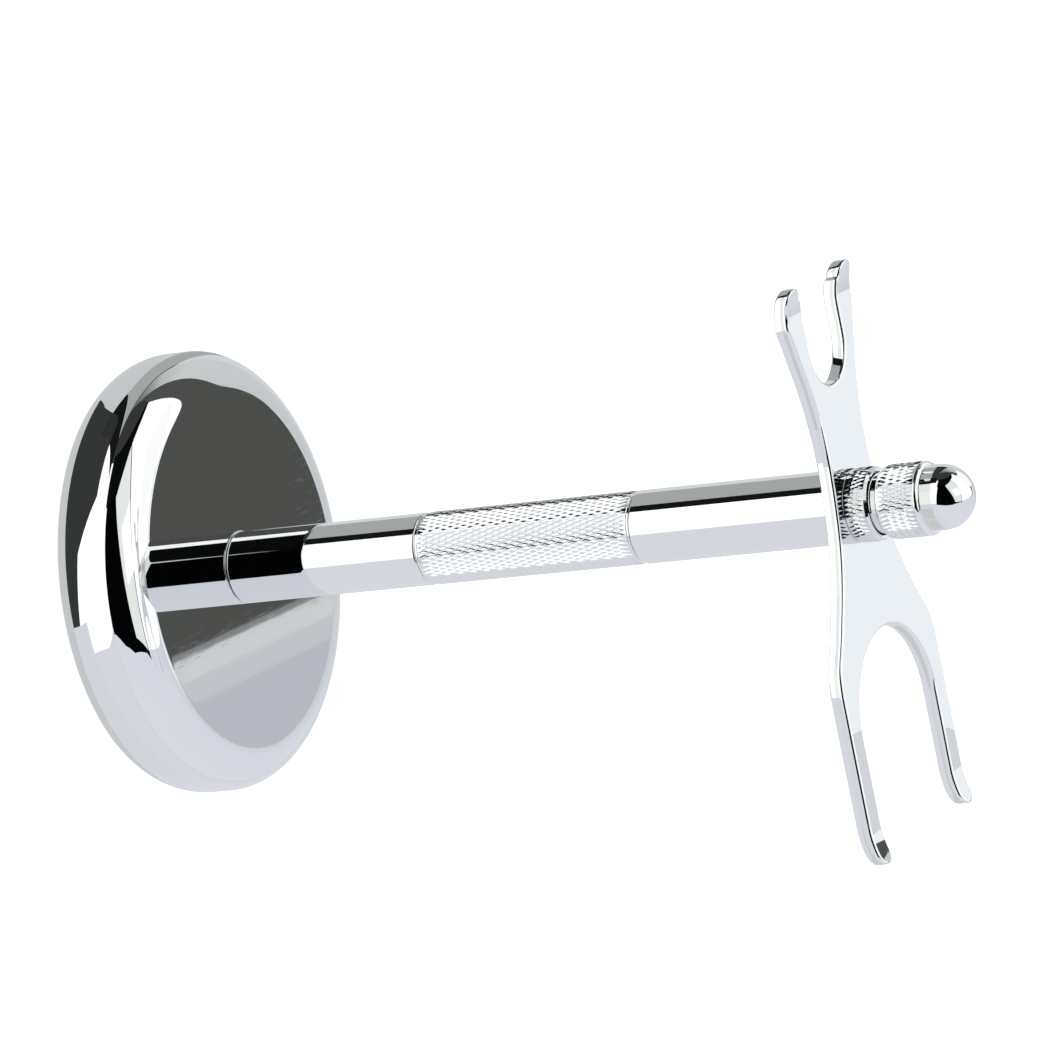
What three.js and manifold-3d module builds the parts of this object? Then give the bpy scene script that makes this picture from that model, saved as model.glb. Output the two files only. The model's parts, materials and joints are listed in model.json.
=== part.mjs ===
// Shaving stand: a weighted round base, a straight post with a knurled grip, and a flat plate with a
// razor fork at one end and a brush fork at the other, clamped on a stud by a knurled finial nut.
// Millimetres, +Z up. The origin is the middle of the base's underside; the forks lie along X.
import * as THREE from 'three';
import * as BufferGeometryUtils from 'three/addons/utils/BufferGeometryUtils.js';
import Module from 'manifold-3d';

const wasm = await Module();
wasm.setup();

// ---- driving dimensions ----
const FIT = 0.05; // gap between stacked faces
const RUN = 0.1; // radial clearance of a screw or a turning piece
const LOOSE = 0.3; // radial clearance of a plug in its tube

const BASE_RADIUS = 36.8;
const BASE_TOP = 15.1;
const FLAT_RADIUS = 29.8; // flat mirror top of the base
const SHELL_WALL = 1.3;
const SHOULDER_DROP = 6.2;
const TUCK_HEIGHT = 5.6; // below this the side curves inwards
const TUCK_RADIUS = 7.7;
const SHELL_BOTTOM = 0.7;
const PAD_THICKNESS = 1.1;
const PAD_RADIUS = 33.2;
const WEIGHT_RADIUS = 32.4;
const WEIGHT_BEVEL = 3.2; // clears the shell's shoulder
const WEIGHT_COUNTERBORE = 6.2;

const POST_RADIUS = 6.0;
const POST_BORE = 5.0;
const POST_CHAMFER = 0.3;
const GRIP_BOTTOM = 50.9;
const GRIP_TOP = 90.4;
const GRIP_GROOVE_DEPTH = 0.25;
const GRIP_GROOVE_WIDTH = 0.45;
const GRIP_BORE = 3.4;
const COUPLER_LENGTH = 11;
const PLUG_LENGTH = 15;
const PLUG_FLOOR = 3; // solid end of a tapped plug

const SCREW_RADIUS = 2.5;
const SCREW_SEAT = 8.2; // height of the ledge inside the weight that the washers press on
const SCREW_TOP = 26;
const SCREW_HEAD_RADIUS = 4.6;
const SCREW_HEAD_HEIGHT = 3.5;
const SCREW_SOCKET = 4.0; // hexagon across flats
const SCREW_SOCKET_DEPTH = 2.4;
const SCREW_POINT = 0.6;
const WASHER_BORE = 2.75;
const FLAT_WASHER = 1.0;
const FLAT_WASHER_RADIUS = 5.4;
const SPRING_WASHER = 1.1;
const SPRING_WASHER_RADIUS = 4.4;
const SPRING_WASHER_GAP = 0.8;
const FORK_WASHER = 0.5;

const PLATE_TOP = 129.0;
const PLATE_THICKNESS = 2.5;
const RAZOR_SLOT_RADIUS = 6.65;
const RAZOR_SLOT_END = -20.15;
const RAZOR_TIP = -37.9;
const RAZOR_HALF_WIDTH = 12.4;
const BRUSH_SLOT_RADIUS = 14.5;
const BRUSH_SLOT_END = 20.25;
const BRUSH_TIP = 54.7;
const BRUSH_HALF_WIDTH = 18.7;
const TIP_LENGTH = 6.4; // stretch of each prong that curls up
const TIP_RISE = 1.4;
const RAZOR_TIP_FLARE = 1.1; // the razor slot opens a little at its mouth
const RAZOR_TIP_CORNER = 2.2;

const COLLAR_HEIGHT = 4.0;
const COLLAR_SEAT = 1.6;
const COLLAR_COUNTERBORE = 5.1;
const COLLAR_CHAMFER = 0.3;
const NECK_RADIUS = 4.9;
const CLIP_HEIGHT = 0.6;
const CLIP_BOTTOM = 2.6;
const CLIP_DEPTH = 0.4; // of the grooves that hold the snap ring
const CLIP_PLAY = 0.2;
const NUT_BOTTOM = 5.4; // heights above the plate's top face
const NUT_TOP = 12.3;
const CONE_TOP = 13.0;
const NOSE_RADIUS = 5.28;
const NOSE_SHOULDER = 14.8;
const NUT_CHAMFER = 0.5;
const STUD_TOP = 12.4;
const STUD_ENGAGED = 11; // length of stud in the head plug

const PLATE_BOTTOM = PLATE_TOP - PLATE_THICKNESS;
const TUBE_BOTTOM = BASE_TOP + FIT;
const TUBE_TOP = PLATE_BOTTOM - FIT;
const WEIGHT_TOP = BASE_TOP - SHELL_WALL - FIT;
const WEIGHT_BOTTOM = PAD_THICKNESS + FIT;
const FLAT_WASHER_BOTTOM = SCREW_SEAT - FIT - FLAT_WASHER;
const SPRING_WASHER_BOTTOM = FLAT_WASHER_BOTTOM - FIT - SPRING_WASHER;
const HEAD_BOTTOM = SPRING_WASHER_BOTTOM - FIT - SCREW_HEAD_HEIGHT;
const FORK_WASHER_BOTTOM = PLATE_BOTTOM - FIT - FORK_WASHER;
const HEAD_PLUG_TOP = FORK_WASHER_BOTTOM - FIT;

// ---- materials ----
function metal(color, roughness) {
  return new THREE.MeshStandardMaterial({ color, roughness, metalness: 1 });
}

const chrome = () => metal(0xd9dbde, 0.06);
const steel = () => metal(0xa9abae, 0.35);
const iron = () => metal(0x55575a, 0.7);
const rubber = () => new THREE.MeshStandardMaterial({ color: 0x111112, roughness: 0.9, metalness: 0 });
const nylon = () => new THREE.MeshStandardMaterial({ color: 0xe6e3da, roughness: 0.6, metalness: 0 });

// ---- shape helpers ----
// Profile points are [radius, height], counter-clockwise about the solid; the lathe turns them about Z.
function turned(profile, segments = 48) {
  const points = profile.map(([radius, height]) => new THREE.Vector2(radius, height));
  return new THREE.LatheGeometry(points, segments).rotateX(Math.PI / 2);
}

function ringProfile(inner, outer, bottom, top, chamfer = 0) {
  return [
    [inner, bottom],
    [outer - chamfer, bottom],
    [outer, bottom + chamfer],
    [outer, top - chamfer],
    [outer - chamfer, top],
    [inner, top],
    [inner, bottom],
  ].filter(([r, z], i, all) => i === 0 || r !== all[i - 1][0] || z !== all[i - 1][1]);
}

// Points of an elliptical arc about [centreR, centreZ], angles in degrees from the radial direction.
function arc(centreR, centreZ, radiusR, radiusZ, from, to, steps) {
  return Array.from({ length: steps + 1 }, (_, i) => {
    const angle = THREE.MathUtils.degToRad(from + ((to - from) * i) / steps);
    return [centreR + radiusR * Math.cos(angle), centreZ + radiusZ * Math.sin(angle)];
  });
}

function solid(geometry) {
  const bare = geometry.clone();
  bare.deleteAttribute('normal');
  bare.deleteAttribute('uv');
  const merged = BufferGeometryUtils.mergeVertices(bare, 1e-4);
  const index = merged.index.array;
  const triVerts = [];
  for (let i = 0; i < index.length; i += 3) {
    const [a, b, c] = index.slice(i, i + 3);
    if (a !== b && b !== c && c !== a) {
      triVerts.push(a, b, c);
    }
  }
  return new wasm.Manifold(new wasm.Mesh({
    numProp: 3,
    vertProperties: Float32Array.from(merged.attributes.position.array),
    triVerts: Uint32Array.from(triVerts),
  }));
}

function fromSolid(body) {
  const mesh = body.getMesh();
  const geometry = new THREE.BufferGeometry();
  geometry.setAttribute('position', new THREE.BufferAttribute(Float32Array.from(mesh.vertProperties), 3));
  geometry.setIndex(new THREE.BufferAttribute(Uint32Array.from(mesh.triVerts), 1));
  geometry.computeVertexNormals();
  return geometry;
}

function cut(geometry, tool) {
  return fromSolid(solid(geometry).subtract(solid(tool)));
}

const stand = new THREE.Group();

function add(name, geometry, material, height = 0) {
  const mesh = new THREE.Mesh(geometry, material);
  mesh.name = name;
  mesh.position.z = height;
  stand.add(mesh);
}

// ---- base ----
// Outer curve of the shell, from its lower edge to the flat top, moved inwards by wall.
function shellCurve(wall, tuckSteps, shoulderSteps) {
  const shoulder = BASE_RADIUS - FLAT_RADIUS;
  const lowest = THREE.MathUtils.radToDeg(Math.asin((SHELL_BOTTOM - TUCK_HEIGHT) / TUCK_RADIUS));
  const tuckCentre = BASE_RADIUS - TUCK_RADIUS;
  const lower = arc(tuckCentre, TUCK_HEIGHT, TUCK_RADIUS - wall, TUCK_RADIUS - wall, lowest, 0, tuckSteps);
  lower[0][1] = SHELL_BOTTOM;
  const upper = arc(
    FLAT_RADIUS, BASE_TOP - SHOULDER_DROP, shoulder - wall, SHOULDER_DROP - wall, 0, 90, shoulderSteps,
  );
  return [...lower, ...upper];
}

function baseShell() {
  const hole = SCREW_RADIUS + LOOSE;
  const outer = shellCurve(0, 3, 7);
  const inner = shellCurve(SHELL_WALL, 2, 3).reverse();
  return turned([...outer, [hole, BASE_TOP], [hole, BASE_TOP - SHELL_WALL], ...inner, outer[0]], 56);
}

function baseWeight() {
  const bore = SCREW_RADIUS + LOOSE;
  const lowerBevel = 0.6;
  return turned([
    [WEIGHT_COUNTERBORE, WEIGHT_BOTTOM],
    [WEIGHT_RADIUS - lowerBevel, WEIGHT_BOTTOM],
    [WEIGHT_RADIUS, WEIGHT_BOTTOM + lowerBevel],
    [WEIGHT_RADIUS, WEIGHT_TOP - WEIGHT_BEVEL],
    [WEIGHT_RADIUS - WEIGHT_BEVEL, WEIGHT_TOP],
    [bore, WEIGHT_TOP],
    [bore, SCREW_SEAT],
    [WEIGHT_COUNTERBORE, SCREW_SEAT],
    [WEIGHT_COUNTERBORE, WEIGHT_BOTTOM],
  ], 48);
}

function basePad() {
  return turned([[0, 0], [PAD_RADIUS, 0], [PAD_RADIUS, PAD_THICKNESS], [0, PAD_THICKNESS]], 48);
}

function baseScrew() {
  const length = SCREW_TOP - HEAD_BOTTOM;
  const headEdge = 0.3;
  const head = turned([
    [0, 0],
    [SCREW_HEAD_RADIUS - headEdge, 0],
    [SCREW_HEAD_RADIUS, headEdge],
    [SCREW_HEAD_RADIUS, SCREW_HEAD_HEIGHT],
    [SCREW_RADIUS, SCREW_HEAD_HEIGHT],
    [SCREW_RADIUS, length - SCREW_POINT],
    [SCREW_RADIUS - SCREW_POINT, length],
    [0, length],
  ], 32);
  const corner = SCREW_SOCKET / Math.sqrt(3);
  const socket = new THREE.CylinderGeometry(corner, corner, 2 * SCREW_SOCKET_DEPTH, 6);
  return cut(head, socket.rotateX(Math.PI / 2));
}

function springWasher() {
  const ring = turned(ringProfile(WASHER_BORE, SPRING_WASHER_RADIUS, 0, SPRING_WASHER), 32);
  const slant = 0.5;
  const gap = new THREE.BoxGeometry(SPRING_WASHER_RADIUS, SPRING_WASHER_GAP, 4 * SPRING_WASHER);
  gap.rotateX(slant).translate(SPRING_WASHER_RADIUS, 0, SPRING_WASHER / 2);
  return cut(ring, gap);
}

function flatWasher() {
  return turned(ringProfile(WASHER_BORE, FLAT_WASHER_RADIUS, 0, FLAT_WASHER), 32);
}

add('base_shell', baseShell(), chrome());
add('base_weight', baseWeight(), iron());
add('base_pad', basePad(), rubber());
add('base_screw', baseScrew(), steel(), HEAD_BOTTOM);
add('base_spring_washer', springWasher(), steel(), SPRING_WASHER_BOTTOM);
add('base_flat_washer', flatWasher(), steel(), FLAT_WASHER_BOTTOM);

// ---- post ----
function tube(bottom, top) {
  return turned(ringProfile(POST_BORE, POST_RADIUS, bottom, top, POST_CHAMFER), 48);
}

// The plug that closes a tube's end, tapped from its mouth; mouth is 1 at the top, -1 at the bottom.
function tappedPlug(mouthHeight, mouth) {
  const radius = POST_BORE - LOOSE;
  const bore = SCREW_RADIUS + RUN;
  const geometry = turned([
    [0, -PLUG_LENGTH],
    [radius, -PLUG_LENGTH],
    [radius, 0],
    [bore, 0],
    [bore, PLUG_FLOOR - PLUG_LENGTH],
    [0, PLUG_FLOOR - PLUG_LENGTH],
  ], 32);
  if (mouth < 0) {
    geometry.rotateX(Math.PI);
  }
  return geometry.translate(0, 0, mouthHeight);
}

// A stepped coupler: the wide half sits in the tube, the narrow half in the grip's bore.
function coupler(seam, towardsGrip) {
  const geometry = turned([
    [0, -COUPLER_LENGTH],
    [POST_BORE - LOOSE, -COUPLER_LENGTH],
    [POST_BORE - LOOSE, -FIT],
    [GRIP_BORE - LOOSE, -FIT],
    [GRIP_BORE - LOOSE, COUPLER_LENGTH],
    [0, COUPLER_LENGTH],
  ], 32);
  if (towardsGrip < 0) {
    geometry.rotateX(Math.PI);
  }
  return geometry.translate(0, 0, seam);
}

function gripSleeve() {
  const grooveRadius = POST_RADIUS - GRIP_GROOVE_DEPTH;
  return turned([
    [GRIP_BORE, GRIP_BOTTOM + FIT],
    [grooveRadius, GRIP_BOTTOM + FIT],
    [grooveRadius, GRIP_BOTTOM + GRIP_GROOVE_WIDTH],
    [POST_RADIUS, GRIP_BOTTOM + GRIP_GROOVE_WIDTH + GRIP_GROOVE_DEPTH],
    [POST_RADIUS, GRIP_TOP - GRIP_GROOVE_WIDTH - GRIP_GROOVE_DEPTH],
    [grooveRadius, GRIP_TOP - GRIP_GROOVE_WIDTH],
    [grooveRadius, GRIP_TOP - FIT],
    [GRIP_BORE, GRIP_TOP - FIT],
    [GRIP_BORE, GRIP_BOTTOM + FIT],
  ], 48);
}

function forkWasher() {
  return turned(ringProfile(WASHER_BORE, POST_BORE - LOOSE, 0, FORK_WASHER), 32);
}

add('post_foot_plug', tappedPlug(TUBE_BOTTOM, -1), steel());
add('post_lower_tube', tube(TUBE_BOTTOM, GRIP_BOTTOM), chrome());
add('grip_lower_coupler', coupler(GRIP_BOTTOM, 1), steel());
add('grip_sleeve', gripSleeve(), chrome());
add('grip_upper_coupler', coupler(GRIP_TOP, -1), steel());
add('post_upper_tube', tube(GRIP_TOP, TUBE_TOP), chrome());
add('post_head_plug', tappedPlug(HEAD_PLUG_TOP, 1), steel());
add('fork_washer', forkWasher(), nylon(), FORK_WASHER_BOTTOM);

// ---- stud ----
function forkStud() {
  const bottom = HEAD_PLUG_TOP - STUD_ENGAGED;
  const top = PLATE_TOP + STUD_TOP;
  return turned([
    [0, bottom],
    [SCREW_RADIUS - SCREW_POINT, bottom],
    [SCREW_RADIUS, bottom + SCREW_POINT],
    [SCREW_RADIUS, top - SCREW_POINT],
    [SCREW_RADIUS - SCREW_POINT, top],
    [0, top],
  ], 32);
}

add('fork_stud', forkStud(), steel());

// ---- fork plate ----
// One long edge of the plate, from the brush slot's end round to the razor slot's end, on the +Y side.
function forkEdge() {
  const brushArc = BRUSH_SLOT_END + BRUSH_SLOT_RADIUS;
  const razorArc = RAZOR_SLOT_END - RAZOR_SLOT_RADIUS;
  const brushTipRadius = (BRUSH_HALF_WIDTH - BRUSH_SLOT_RADIUS) / 2;
  const brushTipCentre = BRUSH_TIP - brushTipRadius;
  const brushBend = BRUSH_TIP - TIP_LENGTH;
  const razorBend = RAZOR_TIP + TIP_LENGTH;
  const bendStep = TIP_LENGTH / 3;
  const corner = RAZOR_TIP_CORNER;
  const razorMouth = RAZOR_SLOT_RADIUS + RAZOR_TIP_FLARE;
  const flank = new THREE.SplineCurve([
    [26.5, BRUSH_HALF_WIDTH], [22.6, 17.9], [18, 15.1], [11, 11.4], [5, 9.2], [-1, 8.0], [-8, 7.3],
    [-14, 7.6], [-20, 8.75], [-26, 10.6], [razorBend, RAZOR_HALF_WIDTH],
  ].map(([x, y]) => new THREE.Vector2(x, y)));
  return [
    ...arc(brushArc, 0, BRUSH_SLOT_RADIUS, BRUSH_SLOT_RADIUS, 180, 90, 12),
    [brushBend, BRUSH_SLOT_RADIUS],
    [brushBend + bendStep, BRUSH_SLOT_RADIUS],
    ...arc(brushTipCentre, BRUSH_SLOT_RADIUS + brushTipRadius, brushTipRadius, brushTipRadius, -90, 90, 8),
    [brushBend + bendStep, BRUSH_HALF_WIDTH],
    [brushBend, BRUSH_HALF_WIDTH],
    ...flank.getPoints(24).map((p) => [p.x, p.y]),
    [razorBend - bendStep, RAZOR_HALF_WIDTH],
    ...arc(RAZOR_TIP + corner, RAZOR_HALF_WIDTH - corner, corner, corner, 90, 180, 4),
    ...arc(RAZOR_TIP + corner, razorMouth + corner, corner, corner, 180, 270, 4),
    [razorBend - bendStep, RAZOR_SLOT_RADIUS + RAZOR_TIP_FLARE / 3],
    [razorBend, RAZOR_SLOT_RADIUS],
    ...arc(razorArc, 0, RAZOR_SLOT_RADIUS, RAZOR_SLOT_RADIUS, 90, 0, 9),
  ];
}

function curlTips(geometry) {
  const position = geometry.attributes.position;
  for (let i = 0; i < position.count; i += 1) {
    const x = position.getX(i);
    const past = Math.max(x - (BRUSH_TIP - TIP_LENGTH), RAZOR_TIP + TIP_LENGTH - x, 0) / TIP_LENGTH;
    position.setZ(i, position.getZ(i) + TIP_RISE * past * past);
  }
  return geometry;
}

function forkPlate() {
  const edge = forkEdge().map(([x, y]) => new THREE.Vector2(x, y));
  const mirrored = edge.slice(1, -1).reverse().map((p) => new THREE.Vector2(p.x, -p.y));
  const outline = new THREE.Shape([...edge, ...mirrored]);
  const hole = new THREE.Path();
  hole.absarc(0, 0, SCREW_RADIUS + LOOSE, 0, 2 * Math.PI, true);
  outline.holes.push(hole);
  const plate = new THREE.ExtrudeGeometry(outline, {
    depth: PLATE_THICKNESS, bevelEnabled: false, curveSegments: 24,
  });
  return curlTips(plate);
}

add('fork_plate', forkPlate(), chrome(), PLATE_BOTTOM);

// ---- clamp: collar, its snap ring and the finial nut, heights above the plate ----
const COLLAR_GROOVE = COLLAR_COUNTERBORE + CLIP_DEPTH;
const NECK_GROOVE = NECK_RADIUS - CLIP_DEPTH;
const GROOVE_BOTTOM = CLIP_BOTTOM - CLIP_PLAY;
const GROOVE_TOP = CLIP_BOTTOM + CLIP_HEIGHT + CLIP_PLAY;

function clampCollar() {
  const bore = SCREW_RADIUS + LOOSE;
  return turned([
    [bore, FIT],
    [POST_RADIUS - COLLAR_CHAMFER, FIT],
    [POST_RADIUS, FIT + COLLAR_CHAMFER],
    [POST_RADIUS, COLLAR_HEIGHT - COLLAR_CHAMFER],
    [POST_RADIUS - COLLAR_CHAMFER, COLLAR_HEIGHT],
    [COLLAR_COUNTERBORE, COLLAR_HEIGHT],
    [COLLAR_COUNTERBORE, GROOVE_TOP],
    [COLLAR_GROOVE, GROOVE_TOP],
    [COLLAR_GROOVE, GROOVE_BOTTOM],
    [COLLAR_COUNTERBORE, GROOVE_BOTTOM],
    [COLLAR_COUNTERBORE, COLLAR_SEAT],
    [bore, COLLAR_SEAT],
    [bore, FIT],
  ], 40);
}

function collarClip() {
  const ring = turned(ringProfile(NECK_GROOVE + RUN, COLLAR_GROOVE - RUN, 0, CLIP_HEIGHT), 32);
  const mouth = 2.2;
  const gap = new THREE.BoxGeometry(POST_RADIUS, mouth, 4 * CLIP_HEIGHT).translate(POST_RADIUS, 0, 0);
  return cut(ring, gap);
}

function finialNut() {
  const bore = SCREW_RADIUS + RUN;
  const boreTop = STUD_TOP + 0.6;
  const drillPoint = 1.2;
  const neckBottom = COLLAR_SEAT + CLIP_PLAY;
  const dome = arc(0, NOSE_SHOULDER, NOSE_RADIUS, NOSE_RADIUS, 0, 90, 6);
  dome[dome.length - 1][0] = 0;
  return turned([
    [0, boreTop + drillPoint],
    [bore, boreTop],
    [bore, neckBottom],
    [NECK_RADIUS, neckBottom],
    [NECK_RADIUS, GROOVE_BOTTOM],
    [NECK_GROOVE, GROOVE_BOTTOM],
    [NECK_GROOVE, GROOVE_TOP],
    [NECK_RADIUS, GROOVE_TOP],
    [NECK_RADIUS, NUT_BOTTOM],
    [POST_RADIUS - NUT_CHAMFER, NUT_BOTTOM],
    [POST_RADIUS, NUT_BOTTOM + NUT_CHAMFER],
    [POST_RADIUS, NUT_TOP],
    [NOSE_RADIUS, CONE_TOP],
    ...dome,
  ], 40);
}

add('clamp_collar', clampCollar(), chrome(), PLATE_TOP);
add('collar_clip', collarClip(), steel(), PLATE_TOP + CLIP_BOTTOM);
add('finial_nut', finialNut(), chrome(), PLATE_TOP);

export default stand;
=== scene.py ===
"""Shaving stand in mirror chrome: the looks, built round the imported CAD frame. Metres, +Z up."""
import json
import math

import bmesh
import bpy
from mathutils import Matrix, Vector


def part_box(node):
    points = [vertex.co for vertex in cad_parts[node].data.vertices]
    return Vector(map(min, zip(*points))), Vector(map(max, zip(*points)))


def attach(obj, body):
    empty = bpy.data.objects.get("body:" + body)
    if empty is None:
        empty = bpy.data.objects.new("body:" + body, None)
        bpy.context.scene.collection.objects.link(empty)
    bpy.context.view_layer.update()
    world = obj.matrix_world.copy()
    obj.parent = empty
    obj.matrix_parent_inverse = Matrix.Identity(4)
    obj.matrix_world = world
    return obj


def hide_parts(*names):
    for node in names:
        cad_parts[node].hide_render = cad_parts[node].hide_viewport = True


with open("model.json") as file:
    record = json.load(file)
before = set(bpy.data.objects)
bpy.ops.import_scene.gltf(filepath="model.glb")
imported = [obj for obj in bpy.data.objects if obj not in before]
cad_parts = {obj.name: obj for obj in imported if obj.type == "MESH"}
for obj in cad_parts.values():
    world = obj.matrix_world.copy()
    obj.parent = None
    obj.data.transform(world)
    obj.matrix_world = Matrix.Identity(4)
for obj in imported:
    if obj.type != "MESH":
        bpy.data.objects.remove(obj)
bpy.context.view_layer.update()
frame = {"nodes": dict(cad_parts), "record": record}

MM = 0.001
scene = bpy.context.scene

# ---- places read from the frame ----
BASE_LOW, BASE_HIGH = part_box("base_shell")
PAD_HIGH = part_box("base_pad")[1]
LOWER_LOW, LOWER_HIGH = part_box("post_lower_tube")
GRIP_LOW, GRIP_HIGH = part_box("grip_sleeve")
UPPER_LOW, UPPER_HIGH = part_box("post_upper_tube")
STUD_LOW, STUD_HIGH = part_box("fork_stud")
PLATE_LOW, PLATE_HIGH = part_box("fork_plate")
COLLAR_LOW, COLLAR_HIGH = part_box("clamp_collar")
FINIAL_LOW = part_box("finial_nut")[0]

BASE_RADIUS = BASE_HIGH.x
BASE_TOP = BASE_HIGH.z
BASE_BOTTOM = BASE_LOW.z
POST_RADIUS = UPPER_HIGH.x

# ---- shape of the parts, in metres ----
FLAT_RADIUS = 29.8 * MM  # flat mirror top of the base
SHOULDER_DROP = 6.2 * MM
TUCK_HEIGHT = 5.6 * MM
TUCK_RADIUS = 7.7 * MM
SHELL_WALL = 1.3 * MM
SCREW_HOLE = 2.8 * MM
BASE_GUARD = 0.4 * MM  # width of the narrow faces that keep the flat top's shading flat
PAD_EDGE = 0.25 * MM
BASE_COLUMNS = 256
PAD_COLUMNS = 160

POST_BORE = 5.0 * MM
POST_EDGE = 0.4 * MM
POST_COLUMNS = 128
GRIP_BORE = 3.4 * MM
GRIP_GROOVE = 0.25 * MM  # depth
GRIP_GROOVE_WIDTH = 0.3 * MM
GRIP_LAND = 0.12 * MM  # how far the plain ring beyond the groove lies below the knurl's crests
GRIP_LAND_RISE = 0.1 * MM
GRIP_KNURL_GAP = 0.05 * MM

KNURL_STARTS = 48
KNURL_COLUMNS = 2 * KNURL_STARTS
KNURL_DEPTH = 0.16 * MM
KNURL_LENGTH = 2.45 * MM  # of one diamond along the axis
KNURL_CREST = 0.48  # share of a diamond that its flat crest takes

PLATE_THICKNESS = 2.5 * MM
PLATE_TOP = PLATE_LOW.z + PLATE_THICKNESS
PLATE_EDGE = 0.45 * MM
RAZOR_TIP = PLATE_LOW.x
BRUSH_TIP = PLATE_HIGH.x
BRUSH_HALF_WIDTH = PLATE_HIGH.y
RAZOR_HALF_WIDTH = 12.4 * MM
RAZOR_SLOT_RADIUS = 6.65 * MM
RAZOR_SLOT_END = -20.15 * MM
RAZOR_TIP_FLARE = 1.1 * MM
RAZOR_TIP_CORNER = 2.2 * MM
BRUSH_SLOT_RADIUS = 14.5 * MM
BRUSH_SLOT_END = 20.25 * MM
TIP_LENGTH = 6.4 * MM
TIP_RISE = 1.4 * MM
MERGE_DISTANCE = 0.0001 * MM
FLANK = ((26.5, 18.7), (22.6, 17.9), (18, 15.1), (11, 11.4), (5, 9.2), (-1, 8.0), (-8, 7.3),
         (-14, 7.6), (-20, 8.75), (-26, 10.6), (-31.5, 12.4))  # millimetres

# Heights of the clamp's steps above the top of the plate.
COLLAR_SEAT = PLATE_TOP + 1.6 * MM
CLIP_BOTTOM = PLATE_TOP + 2.4 * MM
CLIP_TOP = PLATE_TOP + 3.4 * MM
NUT_BOTTOM = PLATE_TOP + 5.4 * MM
NUT_TOP = PLATE_TOP + 12.3 * MM
SHOULDER_TOP = PLATE_TOP + 13.0 * MM
DOME_BOTTOM = PLATE_TOP + 14.8 * MM
DRILL_SHOULDER = NUT_TOP + 0.7 * MM
DRILL_POINT = NUT_TOP + 1.9 * MM

COLLAR_COUNTERBORE = 5.1 * MM
COLLAR_GROOVE = 5.5 * MM
COLLAR_CHAMFER = 0.4 * MM
COLLAR_TOP_LAND = 0.08 * MM  # below the knurl's crests
COLLAR_BORE_CHAMFER = 0.1 * MM
COLLAR_KNURL_GAP = 0.03 * MM
COLLAR_KNURL_TOP_GAP = 0.1 * MM
NECK_RADIUS = 4.9 * MM
NECK_GROOVE = 4.5 * MM
NECK_FILLET = 0.15 * MM
NUT_CHAMFER = 0.25 * MM
NUT_CHAMFER_START = 0.45 * MM  # inwards from the knurl's crests
NUT_CHAMFER_END = 0.2 * MM
NUT_KNURL_LOW_GAP = 0.4 * MM
NUT_KNURL_HIGH_GAP = 0.2 * MM
NUT_TOP_LAND = 0.1 * MM
NUT_TOP_LAND_DROP = 0.12 * MM
NUT_BORE = 2.6 * MM
NOSE_RADIUS = 5.28 * MM

THREAD_PITCH = 0.8 * MM
THREAD_DEPTH = 0.45 * MM
THREAD_COLUMNS = 40
THREAD_ROWS_PER_PITCH = 10


# ---- mesh helpers ----
def finish_mesh(name, bm, material, body, replaces, crease=32, weigh=True):
    """Turns the bmesh into a piece that rides on a body and stands for CAD nodes.

    Edges sharper than crease, in degrees, and those marked as not smooth stay hard.
    """
    bmesh.ops.recalc_face_normals(bm, faces=bm.faces)
    bm.edges.index_update()
    hard_edges = [edge.index for edge in bm.edges if not edge.smooth]
    mesh = bpy.data.meshes.new(name)
    bm.to_mesh(mesh)
    bm.free()
    mesh.set_sharp_from_angle(angle=math.radians(crease))
    for index in hard_edges:
        mesh.edges[index].use_edge_sharp = True
    mesh.materials.append(material)
    piece = bpy.data.objects.new(name, mesh)
    scene.collection.objects.link(piece)
    if weigh:
        weighted = piece.modifiers.new("weighted_normals", "WEIGHTED_NORMAL")
        weighted.keep_sharp = True
        weighted.weight = 100
    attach(piece, body)
    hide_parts(*replaces)
    return piece


def arc(centre, radii, start, end, steps):
    """Points of an elliptical arc about centre, angles in degrees."""
    points = []
    for i in range(steps + 1):
        angle = math.radians(start + (end - start) * i / steps)
        points.append((centre[0] + radii[0] * math.cos(angle),
                       centre[1] + radii[1] * math.sin(angle)))
    return points


def fillet(before, corner, after, radius, steps=4):
    """The points that round one corner of a profile."""
    corner = Vector(corner)
    to_before = (Vector(before) - corner).normalized()
    to_after = (Vector(after) - corner).normalized()
    half = to_before.angle(to_after) / 2
    reach = radius / math.tan(half)
    centre = corner + (to_before + to_after).normalized() * radius / math.sin(half)
    start = (corner + to_before * reach - centre).normalized()
    end = (corner + to_after * reach - centre).normalized()
    return [tuple(centre + start.slerp(end, i / steps) * radius) for i in range(steps + 1)]


def rounded(profile, radius):
    """The profile with every corner rounded, apart from those on the axis."""
    points = []
    for i, corner in enumerate(profile):
        if corner[0] == 0:
            points.append(corner)
            continue
        before, after = profile[i - 1], profile[(i + 1) % len(profile)]
        points += fillet(before, corner, after, radius)
    return points


def ring(bm, radius, height, columns):
    """One circle of vertices, or a single vertex on the axis."""
    if radius == 0:
        return [bm.verts.new((0, 0, height))] * columns
    step = 2 * math.pi / columns
    return [bm.verts.new((radius * math.cos(c * step), radius * math.sin(c * step), height))
            for c in range(columns)]


def bridge(bm, low, high):
    """Faces between two rings of the same number of vertices."""
    columns = len(low)
    for c in range(columns):
        corners = [low[c], low[(c + 1) % columns], high[(c + 1) % columns], high[c]]
        distinct = list(dict.fromkeys(corners))
        if len(distinct) > 2:
            bm.faces.new(distinct).smooth = True


def turn(bm, profile, columns, closed):
    """Turns a profile about Z. Returns its first and last rings."""
    rings = [ring(bm, radius, height, columns) for radius, height in profile]
    for low, high in zip(rings, rings[1:]):
        bridge(bm, low, high)
    if closed:
        bridge(bm, rings[-1], rings[0])
    return rings[0], rings[-1]


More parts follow.
